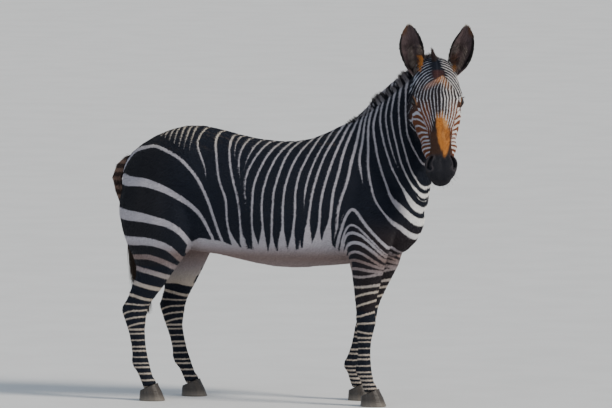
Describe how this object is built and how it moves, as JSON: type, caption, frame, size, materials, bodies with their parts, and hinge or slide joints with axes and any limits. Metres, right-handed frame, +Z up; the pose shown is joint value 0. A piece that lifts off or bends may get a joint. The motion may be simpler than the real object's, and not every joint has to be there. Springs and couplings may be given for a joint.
{
  "type": "zebra",
  "caption": "Standing Cape mountain zebra, narrow dark stripes on white, erect mane, head turned to its right; a still life-size figure.",
  "frame": {"origin": "on the floor, under the middle of the bounding box", "axes": "+X forwards along the body, from tail to breast; +Y to the animal's left; +Z up"},
  "size_m": [1.6326, 0.5324, 1.6871],
  "materials": {
    "coat": "short flat hair, near-black stripes on cream white",
    "ear": "short hair, dark edges and a pale tip, long grey hair inside",
    "mane": "coarse upright hair, dark with pale bands",
    "eye": "wet, dark brown with a wide pupil",
    "horn": "dark grey hoof horn with faint growth rings"
  },
  "bodies": {
    "root": {"eye_right": "eye", "eye_left": "eye", "foreleg_right_upper": "coat", "foreleg_right_lower": "coat", "foreleg_right_hoof": "horn", "hindleg_right_upper": "coat", "hindleg_right_lower": "coat", "hindleg_right_hoof": "horn", "ear_right": "ear", "foreleg_left_upper": "coat", "foreleg_left_lower": "coat", "foreleg_left_hoof": "horn", "hindleg_left_upper": "coat", "hindleg_left_lower": "coat", "hindleg_left_hoof": "horn", "ear_left": "ear", "head": "coat", "neck": "coat", "trunk": "coat", "mane": "mane", "forelock": "mane", "tail_dock": "coat", "tail_tassel": "mane"}
  },
  "joints": []
}
